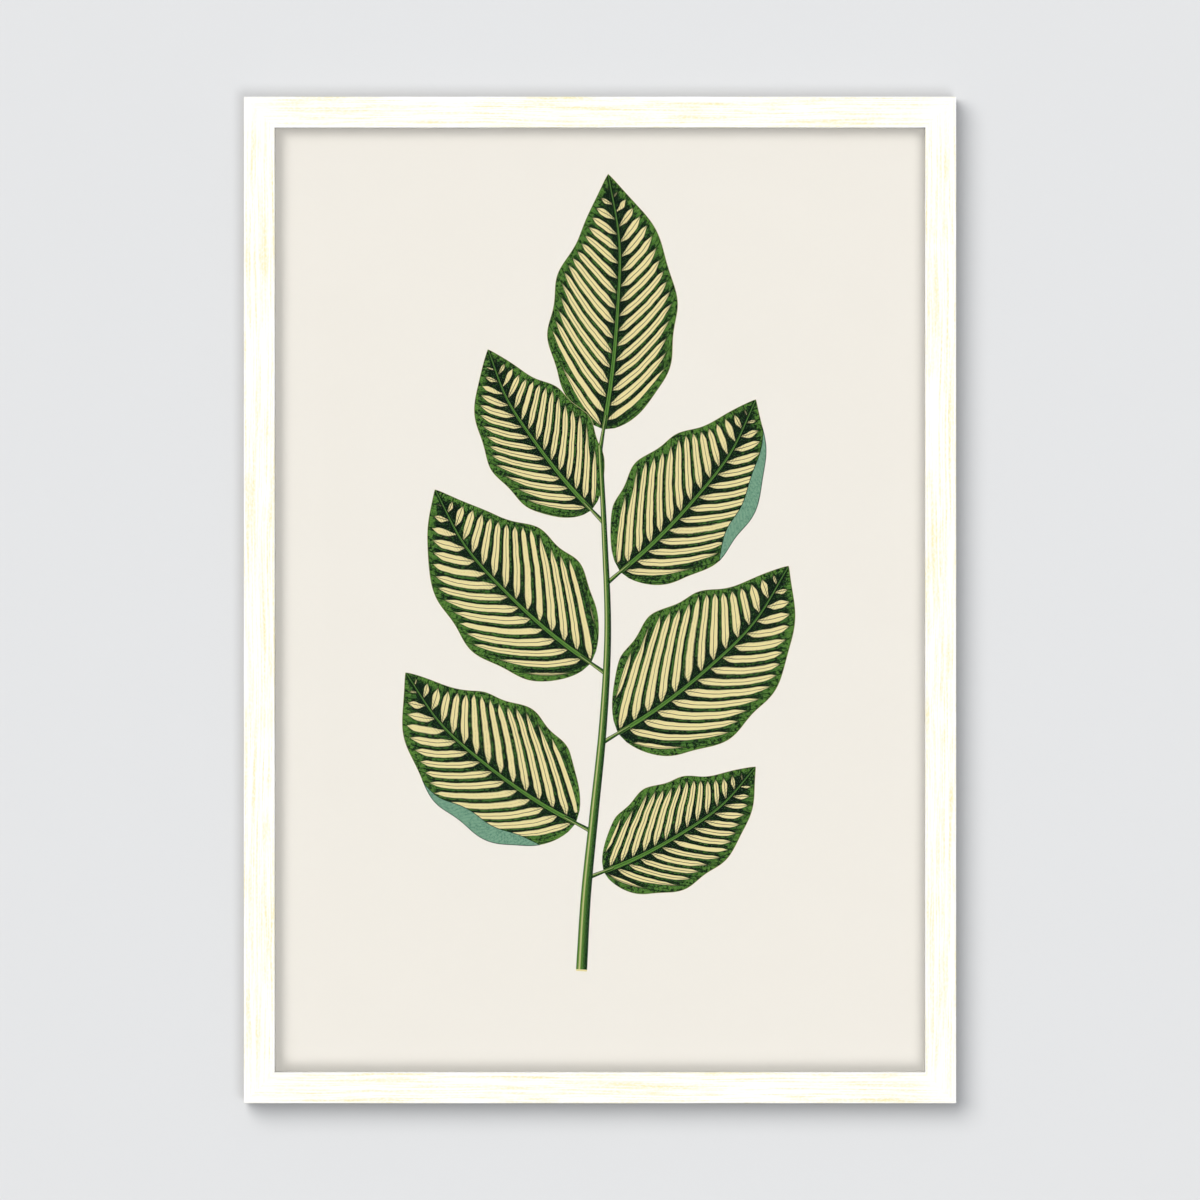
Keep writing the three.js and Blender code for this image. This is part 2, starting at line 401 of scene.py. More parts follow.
moulding = {
    "lip": 6 * mm,  # how far the face reaches over the rebate
    "clearance": 1 * mm,  # between the glass's edge and the wood
    "arris": 0.30 * mm,
    "backArris": 0.25 * mm,
    "station": 1.7 * mm,  # along the grain; the next six are steps across it
    "faceStep": 0.36 * mm,
    "sideStep": 0.468 * mm,
    "lipStep": 0.432 * mm,
    "backStep": 0.576 * mm,
    "hiddenStep": 2 * mm,
    "lapStep": 0.3 * mm,
    "paintCarry": 1.2 * mm,  # how far the wash laps round onto the raw back
    "tree": {"Mitre Gap": 0.01 * mm, "Grain Depth": 0.11 * mm,
             "Streak Length": 85 * mm, "Streak Width": 1.2 * mm},
    "backGrain": 0.6,  # the raw back's grain depth, as a share of the face's
    "wander": 6 * mm,  # how far the streaks stray sideways
    # what adds up to the grain: weight, waves a streak's length, waves a streak's width, and shift
    "grainWaves": ((0.62, 1.0, 1.0, 0), (0.38, 4.6, 1.3, 7), (0.12, 0.6, 0.24, 3)),
    "grainFrom": 0.485,
    "grainTo": 0.80,
    "mitreFade": (6 * mm, 44 * mm, 0.42),  # from and to, measured from the end, and what is left there
    "laneShift": 11.0,  # from one rail's grain to the next one's
}
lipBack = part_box("glass")[0].y
faceWidth = round(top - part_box("glass")[1].z + moulding["lip"] - moulding["clearance"], 5)
rebateWidth = faceWidth - moulding["lip"]

whitewash = {
    "wash": (0.950, 0.943, 0.947),
    "washShade": (0.938, 0.928, 0.910),
    "streak": (0.885, 0.805, 0.455),
    "fibre": (0.925, 0.905, 0.800),
    "fibreShare": 0.45,
    "raw": (0.62, 0.43, 0.24),
    "rawDark": (0.40, 0.24, 0.12),
    "rawGrain": 0.55,
    "raggedness": 0.9,  # of the line where the wash ends
    "roughness": 0.58,
    "bumpDepth": 0.06 * mm,
    # waves a metre along the grain, waves a metre round the section, and detail
    "fine": (70, 2600, 3),
    "broad": (16, 130, 2),
    "fleck": (420, 800, 1),
    "rings": (9, 900, 4),
}


def whitewashedWood(make):
    look = whitewash
    grain, along, girth, painted, lane = readValues(make, "grain along girth painted lane")

    def grainNoise(name):
        wavesAlong, wavesRound, detail = look[name]
        return noise(point(along * wavesAlong, girth * wavesRound, lane), 1.0, detail)

    fine = grainNoise("fine")
    wash = tint(ease(grainNoise("broad"), 0.42, 0.72), look["wash"], look["washShade"])
    wash = tint(ease(fine, 0.56, 0.74) * look["fibreShare"], wash, look["fibre"])
    broken = grain * ease(grainNoise("fleck"), 0.30, 0.66, 0.55, 1.3)
    wash = tint(broken, wash, look["streak"])
    raw = tint(ease(grainNoise("rings"), 0.35, 0.68), look["raw"], look["rawDark"])
    raw = tint(grain * look["rawGrain"], raw, look["rawDark"])
    covered = ease(painted + (fine - 0.5) * look["raggedness"], 0.42, 0.56)
    return {"Base Color": tint(covered, raw, wash), "Specular IOR Level": 0.3,
            "Roughness": look["roughness"] + grain * 0.2 + fine * 0.1,
            "Normal": bump(fine * 0.5 - grain, look["bumpDepth"], 0.6)}


# the outline from the outer back edge round to the rebate: across, depth, outward way, paint
def railSection():
    rows = []

    def run(start, end, out, step, painted=1.0):
        count = max(1, round(math.dist(start, end) / step))
        for i in range(count):
            x, y = (a + (b - a) * (i / count) for a, b in zip(start, end))
            rows.append((x, y, *out, painted))

    def turn(centreX, centreY, radius, startAngle, steps=5):
        for i in range(steps):
            angle = math.radians(startAngle + 90 * i / steps)
            out = math.cos(angle), math.sin(angle)
            rows.append((centreX + radius * out[0], centreY + radius * out[1], *out, 1.0))

    soft, hard, lap = (moulding[key] for key in ("arris", "backArris", "paintCarry"))
    backOut = (0, moulding["backGrain"])
    run((0, back - hard), (0, front + soft), (-1, 0), moulding["sideStep"])
    turn(soft, front + soft, soft, 180)
    run((soft, front), (faceWidth - soft, front), (0, -1), moulding["faceStep"])
    turn(faceWidth - soft, front + soft, soft, 270)
    run((faceWidth, front + soft), (faceWidth, lipBack), (1, 0), moulding["lipStep"])
    run((faceWidth, lipBack), (rebateWidth, lipBack), (0, 0), moulding["hiddenStep"])
    run((rebateWidth, lipBack), (rebateWidth, back), (0, 0), moulding["hiddenStep"], 0.0)
    run((rebateWidth, back), (lap, back), backOut, moulding["backStep"], 0.0)
    run((lap, back), (hard, back), backOut, moulding["lapStep"], 0.5)
    turn(hard, back - hard, hard, 90, 3)
    return rows


# sweeps the section along a rail, mitres its ends and sinks the grain into it
def railTree():
    labels = "Length", "Stations", "Lane", "Corner", "Along", "Inward", *moulding["tree"]
    make, given = newTree("mitredRail", labels, Stations="Int", Corner="Vector", Along="Vector",
                          Inward="Vector")

    def stored(name):
        return make("GeometryNodeInputNamedAttribute", {"Name": name}, data_type="FLOAT")

    def keep(geometry, name, value):
        inputs = {"Geometry": geometry, "Name": name, "Value": value}
        return make("GeometryNodeStoreNamedAttribute", inputs, data_type="FLOAT", domain="POINT")

    profile = make("GeometryNodeMeshToCurve", {0: given["Geometry"]})
    line = make("GeometryNodeCurvePrimitiveLine", {"End": (0, 0, 1)})
    line = make("GeometryNodeResampleCurve", {"Curve": line, "Count": given["Stations"]})
    line = keep(line, "share", make("GeometryNodeSplineParameter", output="Factor"))
    swept = make("GeometryNodeCurveToMesh", {"Curve": line, "Profile Curve": profile, "Fill Caps": True})
    across, depth, share, girth = (stored(key) for key in ("across", "depth", "share", "girth"))
    lane = given["Lane"]

    # the further in, the shorter: the ends are mitred
    def alongAt(inset):
        start = inset + given["Mitre Gap"]
        return start + share * (given["Length"] - start * 2)

    along = alongAt(across)
    # the grain wanders a little and opens into long loops
    slow = noise(point(along * 7, girth * 25, lane), 1.0, 1)
    lengths = along / given["Streak Length"]
    widths = (girth + (slow - 0.5) * moulding["wander"]) / given["Streak Width"]
    waves = [noise(point(lengths * longer, widths * wider, lane + shift), 1.0, 0.6) * weight
             for weight, longer, wider, shift in moulding["grainWaves"]]
    limits = {0: sum(waves[1:], waves[0]), 1: moulding["grainFrom"], 2: moulding["grainTo"]}
    grain = make("ShaderNodeMapRange", limits)
    # the wash lies thicker at the mitres
    toEnd = calc("MINIMUM", along, given["Length"] - along)
    grain = grain * ease(toEnd, *moulding["mitreFade"], 1.0)
    for name, value in (("grain", grain), ("along", along), ("lane", lane)):
        swept = keep(swept, name, value)
    sink = stored("grain") * given["Grain Depth"]
    newAcross = across - sink * stored("outAcross")
    newDepth = depth - sink * stored("outDepth")
    place = movedBy(given["Corner"], scaled(given["Along"], alongAt(newAcross)))
    place = movedBy(place, scaled(given["Inward"], newAcross))
    place = movedBy(place, point(0, newDepth, 0))
    placed = make("GeometryNodeSetPosition", {"Geometry": swept, "Position": place})
    return endTree(placed, given)


section = railSection()
sectionPoints = [(x, y, 0) for x, y, *_ in section]
sectionEdges = [(i, (i + 1) % len(section)) for i in range(len(section))]
girth = [0.0]
for near, far in zip(sectionPoints, sectionPoints[1:]):
    girth.append(girth[-1] + math.dist(near, far))
sectionValues = dict(zip(("across", "depth", "outAcross", "outDepth", "painted"), zip(*section)), girth=girth)
# each side starts at its corner, clockwise; the next side's way is the way inwards
sides = "top", "right", "bottom", "left"
corners = (left, 0, top), (right, 0, top), (right, 0, bottom), (left, 0, bottom)
ways = (1, 0, 0), (0, 0, -1), (-1, 0, 0), (0, 0, 1)
width, height = right - left, top - bottom
woodFinish = newMaterial(whitewashedWood)
mitredRail = railTree()
for number, side in enumerate(sides):
    length = (width, height)[number % 2]
    rail = meshObject(f"moulding_{side}", sectionPoints, [], None, sectionValues, edges=sectionEdges)
    growMesh(rail, mitredRail, {
        **moulding["tree"], "Length": length, "Stations": round(length / moulding["station"]),
        "Corner": corners[number], "Along": ways[number], "Inward": ways[(number + 1) % 4],
        "Lane": moulding["laneShift"] * number, "Material": woodFinish})
    dress(rail, "frame", "whitewashed_wood", f"rail_{side}")
    print(side, "rail:", len(rail.data.polygons), "faces")


glassLook = {"ior": 1.15, "colour": (0.994, 0.998, 0.996), "roughness": 0.02}


# clear, with a faint gloss where light enters it
def clearGlass(make):
    gloss = make("ShaderNodeBsdfGlossy", {"Roughness": glassLook["roughness"]})
    through = make("ShaderNodeBsdfTransparent", {"Color": (*glassLook["colour"], 1)})
    facing = make("ShaderNodeFresnel", {"IOR": glassLook["ior"]})
    outside = 1.0 - make("ShaderNodeNewGeometry", output="Backfacing")
    mixed = make("ShaderNodeMixShader", {0: facing * outside, 1: through, 2: gloss})
    nodes = treeOf(mixed).nodes
    nodes.remove(nodes["Principled BSDF"])
    plug(mixed, nodes["Material Output"].inputs[0])
    return {}


repaint(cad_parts["glass"].data, newMaterial(clearGlass))


sheet = {
    "glassGap": 0.10 * mm,
    "inkLayer": 0.012 * mm,
    "cockle": 0.02 * mm,  # how far the paper waves in and out
    "columns": 43,
    "rows": 62,
    "colour": srgb(242.7, 236.2, 227.2, 1.092),
    "fleck": srgb(239.5, 232.3, 223.2, 1.092),
    "toothDepth": 0.02 * mm,
}
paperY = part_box("glass")[1].y + sheet["glassGap"]


def artPaper(make):
    place = objectPlace(make)
    cloud = ease(noise(place, 0.02, 2), 0.3, 0.7)
    tooth = noise(place, 1.9, 3, 0.6)
    colour = tint(cloud * 0.12, sheet["colour"], sheet["fleck"])
    colour = tint(ease(tooth, 0.5, 0.75) * 0.3, colour, sheet["fleck"])
    return {"Base Color": colour, "Roughness": 0.92, "Specular IOR Level": 0.1,
            "Normal": bump(tooth, sheet["toothDepth"], 0.5)}


def paperSheet():
    low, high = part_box("print")
    columns, rows = sheet["columns"], sheet["rows"]
    points = []
    for y, cockle in ((paperY, sheet["cockle"]), (high.y, 0)):
        for j in range(rows + 1):
            z = low.z + (high.z - low.z) * j / rows
            for i in range(columns + 1):
                x = low.x + (high.x - low.x) * i / columns
                wave = math.sin(x * 31 + 1) * math.sin(z * 23 + 2) * 0.5 + 0.5
                points.append((x, y + cockle * wave, z))
    return meshObject("paper_sheet", points, skinFaces(rows, columns), newMaterial(artPaper))


paper = paperSheet()
dress(paper, "frame", "art_paper", "print")


# the ways to the right of a line's way up, and how far along it each point lies
def measureLine(line):
    tangent = np.gradient(line, axis=0)
    tangent /= np.linalg.norm(tangent, axis=1)[:, None]
    toRight = np.stack([tangent[:, 1], -tangent[:, 0]], 1)
    travelled = np.concatenate([[0], np.cumsum(np.linalg.norm(np.diff(line, axis=0), axis=1))])
    return toRight, travelled


# gathers flat ribbons of ink, each a closed skin a few microns thick
class InkSheet:
    def __init__(self):
        self.points, self.faces, self.values = [], [], {}

    def ribbon(self, line, halfLeft, halfRight, layer, columns, tone, seed, space=8.0):
        toRight, travelled = measureLine(line)
        reach = np.linspace(-1, 1, columns + 1)[None, :]
        half = np.where(reach < 0, halfLeft[:, None], halfRight[:, None])
        offset = reach * half
        spots = line[:, None, :] + toRight[:, None, :] * offset[..., None]
        self.faces += skinFaces(len(line) - 1, columns, len(self.points))
        for y in (paperY - sheet["inkLayer"] * (layer + 1), paperY + sheet["cockle"] + sheet["inkLayer"]):
            self.points += [(middle.x + a * mm, y, middle.z + b * mm) for a, b in spots.reshape(-1, 2)]
        fields = {
            "along": np.repeat(travelled, columns + 1),
            "across": offset.ravel(),
            "edge": ((1 - np.abs(reach)) * half).ravel(),
            "share": np.repeat(travelled / travelled[-1], columns + 1),
            "tone": np.full(offset.size, tone),
            "seed": np.full(offset.size, seed),
            "space": np.full(offset.size, space),
        }
        for key, field in fields.items():
            self.values.setdefault(key, []).extend([*field, *field])

    def piece(self, name, pattern):
        made = meshObject(name, self.points, self.faces, newMaterial(pattern), self.values)
        dress(made, "frame", "art_paper")
        return made


# a Catmull-Rom line through the knots, evenly spread by knot
def smoothLine(knots, count):
    knots = [np.array(knot, float) for knot in knots]
    knots = [2 * knots[0] - knots[1], *knots, 2 * knots[-1] - knots[-2]]
    spans = len(knots) - 3
    found = []
    for share in np.linspace(0, spans, count):
        k = min(int(share), spans - 1)
        t = share - k
        a, b, c, d = knots[k:k + 4]
        found.append(0.5 * (2 * b + (c - a) * t + (2 * a - 5 * b + 4 * c - d) * t ** 2
                            + (3 * b - a - 3 * c + d) * t ** 3))
    return np.array(found)


printLight = 1.11  # how brightly the print's suns light it
inkTones = {
    "deep": (1, 19, 8),
    "middle": (42, 80, 35),
    "bright": (68, 113, 46),
    "light": (90, 134, 53),
    "cream": (236, 221, 161),
    "under": (122, 163, 136),
    "underDeep": (58, 106, 86),
}
ink = {name: srgb(*tone, printLight) for name, tone in inkTones.items()}
inkFinish = {"Roughness": 0.8, "Specular IOR Level": 0.08}

# the sprig, in millimetres from the middle of the print, and degrees
sprig = {
    "stem": [(-12, -240), (-9, -190), (-4, -140), (2, -80), (5, -20), (3, 40), (0, 100)],
    "stemPoints": 130,
    "stemHalf": (3.6, 1.5),  # half the stem's thickness at its foot and its tip
    "stalkHalf": (1.5, 0.8),
    "leafPoints": 96,
    "leafColumns": 34,
    "hook": 7,  # how far a leaf turns back before its tip
    "ripple": 0.035,
    "upperHalf": 1.06,  # the upper half of a leaf is wider than the lower one
    "lowerHalf": 0.94,
    "veinSpace": 0.118,  # between two side veins, as a share of the leaf's width
    "folds": {1: (8, 56), 4: (30, 80)},  # the leaves whose lower margin turns up, and between which points
    "foldWidth": 0.062,
}
leaves = [dict(zip(("at", "side", "lean", "length", "width", "bend"), leaf)) for leaf in (
    (0.205, 1, 68, 122, 68, -26),
    (0.300, -1, 61, 150, 86, -26),
    (0.465, 1, 58, 158, 92, -26),
    (0.590, -1, 54, 154, 88, -25),
    (0.755, 1, 49, 144, 81, -22),
    (0.860, -1, 43, 126, 70, -20),
    (0.995, 1, 9, 168, 82, -15),
)]


# how wide a leaf is along its length: full below the middle, drawn out to the tip
def leafOutline(shares):
    outline = shares ** 0.6 * (1 - shares) ** 0.82 * (1 - 0.4 * shares ** 5)
    return outline / outline.max()


# a leaf's middle line from the stem to its tip, cut into the stalk and the blade
def leafLine(leaf, root):
    lean, bend = math.radians(leaf["lean"]), math.radians(leaf["bend"])
    heading = [lean + bend * share for share in np.linspace(0, 1, 5)]
    heading[3] -= math.radians(sprig["hook"])
    stalkLength = 7 + 3 * (leaf["length"] / 110)
    knots, spot = [], root
    for angle in heading:
        knots.append(spot)
        way = np.array([leaf["side"] * math.sin(angle), math.cos(angle)])
        spot = spot + way * (leaf["length"] + stalkLength) / 4
    line = smoothLine(knots, sprig["leafPoints"])
    split = int(np.searchsorted(measureLine(line)[1], stalkLength))
    return line[:split + 6], line[split:]


def drawSprig():
    leafSheet, underSheet, stemSheet = InkSheet(), InkSheet(), InkSheet()
    stemLine = smoothLine(sprig["stem"], sprig["stemPoints"])
    random.seed(24)
    for number, leaf in enumerate(leaves):
        side, width = leaf["side"], leaf["width"]
        stalk, blade = leafLine(leaf, stemLine[round(leaf["at"] * (len(stemLine) - 1))])
        shares = np.linspace(0, 1, len(blade))
        outline = leafOutline(shares) * width / 2
        phase = random.uniform(0, 6)
        fullness = (sprig["upperHalf"], sprig["lowerHalf"])[::side]
        lefts, rights = (
            np.maximum(0.12, outline * [
                1 + sprig["ripple"] * math.sin(share * 24 + phase + shift) * min(1, 5 * share)
                for share in shares] * full)
            for shift, full in zip((0, 2), fullness))
        leafSheet.ribbon(blade, lefts, rights, number % 3, sprig["leafColumns"], random.random(),
                         3.7 * number, width * sprig["veinSpace"])
        stalkHalf = np.linspace(*sprig["stalkHalf"], len(stalk))
        stemSheet.ribbon(stalk, stalkHalf, stalkHalf, 4, 6, 1.0, number)
        if number in sprig["folds"]:
            first, last = sprig["folds"][number]
            swell = np.sin(np.pi * np.linspace(0, 1, last - first) ** 0.8) * width * sprig["foldWidth"]
            toRight = measureLine(blade)[0] * side
            rim = blade + toRight * (rights if side > 0 else lefts)[:, None]
            inner = rim[first:last] - toRight[first:last] * swell[:, None]
            foldHalf = np.maximum(0.1, swell)
            underSheet.ribbon(inner, foldHalf, foldHalf, 3, 12, random.random(), number)
    stemHalf = np.linspace(*sprig["stemHalf"], len(stemLine))
    stemSheet.ribbon(stemLine, stemHalf, stemHalf, 5, 10, 0.0, 20)
    return leafSheet, underSheet, stemSheet


# what is drawn on a leaf, in millimetres on the paper unless it is a share
leafPattern = {
    "climb": 0.74,  # the side veins slant up by this share of their way out
    "climbMore": 0.012,  # and bend up further out
    "wobble": 1.6,
    "stripe": (0.186, 0.078),  # half a side vein's width and its spread, as shares of the spacing
    "taper": (3.0, 8.0, 4.5),  # from the leaf's edge: where a vein ends, is full, and the spread of that
    "veinEnd": 3.4,
    "rib": (0.3, 1.0),  # half the midrib's width at the tip, and what it gains to the base
    "lighterShare": 0.7,
    "margin": (8.0, 3.0),
    "marginShare": 0.85,
    "grit": (0.445, 0.26),  # how much dark grain there is in the light, and what the shade adds
    "gritShare": 0.96,
    "fleckShare": 0.5,
    "strokes": 5.0,  # engraved lines from one side vein to the next
    "strokeShare": 0.62,
    "comb": 2.6,
    "hatch": 1.5,
    "hairChance": 0.15,  # the share of the side veins that have no hair line
}


def leafInk(make):
    look = leafPattern
    along, across, edge, share, seed, space = readValues(make, "along across edge share seed space")
    place = objectPlace(make)
    wobble = (noise(place, 0.11, 2) - 0.5) * look["wobble"]
    absAcross = abs(across)
    onRight = across > 0.0
    climb = absAcross * look["climb"] + absAcross * absAcross * look["climbMore"]
    phase = along - climb + (onRight * (space * 0.5) + wobble)
    phase = (phase + (seed + 40)) / space
    inCell = calc("FRACT", phase)
    cellNumber = calc("FLOOR", phase)
    chance = make("ShaderNodeTexWhiteNoise", {"Vector": point(cellNumber, onRight, seed)}, "Value")
    off = abs(inCell - 0.5) * space * 0.76
    # side veins, cream and tapering out before the margin
    stripe, stripeSpread = look["stripe"]
    taperFrom, taperTo, taperSpread = look["taper"]
    fullWidth = space * (stripe + chance * stripeSpread)
    thin = ease(edge, taperFrom, taperTo + chance * taperSpread) * fullWidth
    thin = thin * ease(absAcross, 0.8, 7.0, 0.15, 1.0)
    vein = under(off, thin, 0.1) * (edge > look["veinEnd"])
    veinLine = ease(abs(off - (thin + 0.3)), 0.34, 0.16)
    # the midrib, wide at the base
    ribTip, ribGain = look["rib"]
    rib = ribTip + (1.0 - share) * ribGain
    midrib = under(absAcross, rib, 0.12)
    ribLine = ease(abs(absAcross - (rib + 0.45)), 0.55, 0.3)
    # quilting between the veins: dark above each vein, lighter below the next
    quilt = ease(abs(inCell - 0.94), 0.60, 0.05)
    shade = calc("MAXIMUM", quilt, ease(absAcross, 14.0, 2.0)) + onRight * 0.22
    # here and there a stretch between two veins is lighter
    stretch = point(cellNumber * 3.7 + onRight * 11.0, absAcross * 0.06, seed)
    lighter = ease(noise(stretch, 1.0, 1), 0.54, 0.66)
    shade = shade * (1.0 - lighter * look["lighterShare"])
    margin = ease(edge + wobble * 1.6, *look["margin"])
    shade = shade * (1.0 - margin * look["marginShare"])
    base = tint(shade * 0.8, ink["bright"], ink["middle"])
    base = tint(margin, base, ink["light"])
    # coarse dark grain, thick in the shade and thin on the margin
    gritLight, gritShade = look["grit"]
    gritty = under(noise(place, 0.64, 2.0, 0.7), gritLight + shade * gritShade, 0.03)
    base = tint(gritty * look["gritShare"], base, ink["deep"])
    # small green flecks left open in the dark
    fleck = ease(noise(place, 0.95, 1.0, 0.6), 0.56, 0.68)
    base = tint(fleck * look["fleckShare"], base, ink["bright"])
    # engraved strokes along the side veins, and short ones across the margin
    strokes = ease(offMiddle(phase * look["strokes"]), 0.14 + shade * 0.26, 0.04)
    base = tint(strokes * look["strokeShare"], base, ink["deep"])
    comb = ease(offMiddle((along + wobble) / look["comb"]), 0.18, 0.05)
    combed = comb * (margin * ease(edge, 1.0, 4.5))
    base = tint(combed * 0.75, base, ink["middle"])
    base = tint(veinLine * 0.8, base, ink["deep"])
    # the side veins' own hatching near the midrib, and a dark hair line along most of them
    hatch = ease(offMiddle(absAcross / look["hatch"]), 0.24, 0.12) * ease(absAcross, 9.0, 2.5)
    hair = ease(off, 0.32, 0.14) * (chance > look["hairChance"])
    stripeColour = tint(hatch * 0.5, ink["cream"], ink["middle"])
    stripeColour = tint(hair * 0.9, stripeColour, ink["deep"])
    base = tint(vein, base, stripeColour)
    base = tint(ribLine * 0.95, base, ink["deep"])
    ribColour = tint(ease(abs(across + 0.2), 0.1, 0.3), ink["middle"], ink["light"])
    base = tint(midrib, base, ribColour)
    # a dark outline with a thin pale halo outside it
    base = tint(ease(edge, 0.62, 0.42) * 0.75, base, ink["deep"])
    return {**inkFinish, "Base Color": tint(ease(edge, 0.30, 0.16) * 0.7, base, ink["cream"])}


def underInk(make):
    along, across, edge = readValues(make, "along across edge")
    strokes = ease(offMiddle((along + across) / 3.1), 0.2, 0.08)
    base = tint(strokes * 0.25, ink["under"], ink["underDeep"])
    grit = ease(noise(objectPlace(make), 0.85, 2.0, 0.75), 0.46, 0.38)
    base = tint(grit * 0.6, base, ink["underDeep"])
    return {**inkFinish, "Base Color": tint(ease(edge, 0.55, 0.3), base, ink["deep"])}


stemDots = {"spacing": 0.75, "shift": 5.0, "least": 0.12, "more": 0.4}  # least and more are radii, as shares


def stemInk(make):
    along, across, edge, tone = readValues(make, "along across edge tone")
    side = across / (abs(across) + edge)
    shade = ease(side, -0.35, 0.8)
    base = tint(shade, ink["light"], ink["middle"])
    # dots on a loose grid, larger in the shade
    x, _, z = axes(objectPlace(make))
    grid = point(x / stemDots["spacing"] + stemDots["shift"], z / stemDots["spacing"], 0)
    cell = make("ShaderNodeTexVoronoi", {"Vector": grid, "Scale": 1.0}, "Distance", voronoi_dimensions="2D")
    dots = under(cell, stemDots["least"] + shade * stemDots["more"], 0.06)
    base = tint(dots * 0.85, base, ink["deep"])
    glint = ease(abs(side + 0.42), 0.22, 0.08)
    base = tint(glint * 0.55, base, ink["cream"])
    base = tint(ease(edge, 0.42, 0.26) * 0.85, base, ink["deep"])
    # the stem's cut foot is pale; the stalks have none
    cut = ease(along, 1.3, 1.0) * (tone < 0.5)
    return {**inkFinish, "Base Color": tint(cut, base, ink["cream"])}


leafSheet, underSheet, stemSheet = drawSprig()
printed = [
    paper,
    leafSheet.piece("printed_leaves", leafInk),
    underSheet.piece("printed_leaf_undersides", underInk),
    stemSheet.piece("printed_stem", stemInk),
]
for name, sun in suns.items():
    if "lights" in sun:
        lit = bpy.data.collections.new(name + "Lights")
        for piece in printed:
            lit.objects.link(piece)
        for item in lit.collection_objects:
            item.light_linking.link_state = "INCLUDE" if sun["lights"] == "print" else "EXCLUDE"
        lamps[name].light_linking.receiver_collection = lit
print("print drawn:", sum(len(piece.data.polygons) for piece in printed), "faces")


card = {
    "flute": 0.9,  # radians a millimetre
    "fluteDepth": 0.15 * mm,
    "tones": ((0.46, 0.33, 0.20), (0.37, 0.25, 0.145)),
    "furrow": (0.30, 0.20, 0.11),
}


def flutedCard(make):
    place = objectPlace(make)
    flute = ease(calc("SINE", axes(place)[0] * card["flute"]), -1.0, 1.0)
    colour = tint(ease(noise(place, 2.5, 4, 0.7), 0.35, 0.7), *card["tones"])
    return {"Base Color": tint(flute * 0.25, colour, card["furrow"]), "Roughness": 0.9,
            "Normal": bump(flute, card["fluteDepth"], 0.5)}


board = {
    "screen": 1.6,  # mm from wire to wire
    "depth": 0.08 * mm,
    "tones": ((0.205, 0.112, 0.055), (0.180, 0.096, 0.046)),
    "fibre": (0.29, 0.17, 0.09),
    "speck": (0.075, 0.038, 0.018),
    # painted shade for the hollows of the screen's print
    "hollowShade": (0.15, 0.078, 0.036),
}


def pressedBoard(make):
    place = objectPlace(make)
    x, _, z = axes(place)
    fibre = noise(place, 0.9, 5, 0.7)
    speck = noise(place, 2.6, 3, 0.6)
    colour = tint(ease(noise(place, 0.012, 4, 0.6), 0.3, 0.7), *board["tones"])
    colour = tint(ease(fibre, 0.48, 0.66) * 0.4, colour, board["fibre"])
    colour = tint(ease(speck, 0.60, 0.74) * 0.55, colour, board["speck"])
    # the screen's print on the rough side, its hollows darkened with painted shade
    wires = 2 * math.pi / board["screen"]
    weave = calc("MAXIMUM", calc("SINE", x * wires), calc("SINE", z * wires))
    colour = tint(ease(weave, 0.2, 1.0) * 0.22, colour, board["hollowShade"])
    return {"Base Color": colour, "Roughness": ease(fibre, 0.3, 0.7, 0.62, 0.82), "Specular IOR Level": 0.3,
            "Normal": bump(weave * -0.5 + fibre * 1.2, board["depth"], 0.7)}


repaint(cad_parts["backing_card"].data, newMaterial(flutedCard))
repaint(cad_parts["backing_board"].data, newMaterial(pressedBoard))


steels = {
    "zincSteel": {"colour": (0.66, 0.68, 0.70), "roughness": 0.34, "spangle": 0.4},
    "brightSteel": {"colour": (0.74, 0.74, 0.75), "roughness": 0.24, "spangle": 0.12},
}


def steel(make, colour, roughness, spangle):
    place = objectPlace(make)
    x, y, z = axes(place)
    plates = make("ShaderNodeTexVoronoi", {"Vector": place, "Scale": 0.55}, "Color")
    flake = make("ShaderNodeSeparateColor", {0: plates})
    dull = noise(place, 0.8, 4, 0.6)
    scratch = noise(point(x * 0.6, y, z * 7), 1.0, 3)
    darkness = calc("ADD", flake * spangle, ease(dull, 0.45, 0.8) * 0.5, clamp=True)
    darker = tuple(level * 0.72 for level in colour)
    return {"Base Color": tint(darkness, colour, darker), "Metallic": 1.0,
            "Roughness": ease(dull, 0.3, 0.75, roughness, roughness + 0.18),
            "Normal": bump(scratch + flake * 0.2, 0.02 * mm, 0.5)}


zincFinish, brightFinish = (newMaterial(steel, name, **look) for name, look in steels.items())


def clearRubber(make):
    place = objectPlace(make)
    return {"Base Color": tint(noise(place, 0.35, 2), (0.80, 0.79, 0.74), (0.70, 0.69, 0.65)),
            "Roughness": 0.38, "Subsurface Weight": 0.35, "Subsurface Scale": 2 * mm,
            "Normal": bump(noise(place, 3.0, 2), 0.02 * mm, 0.3)}


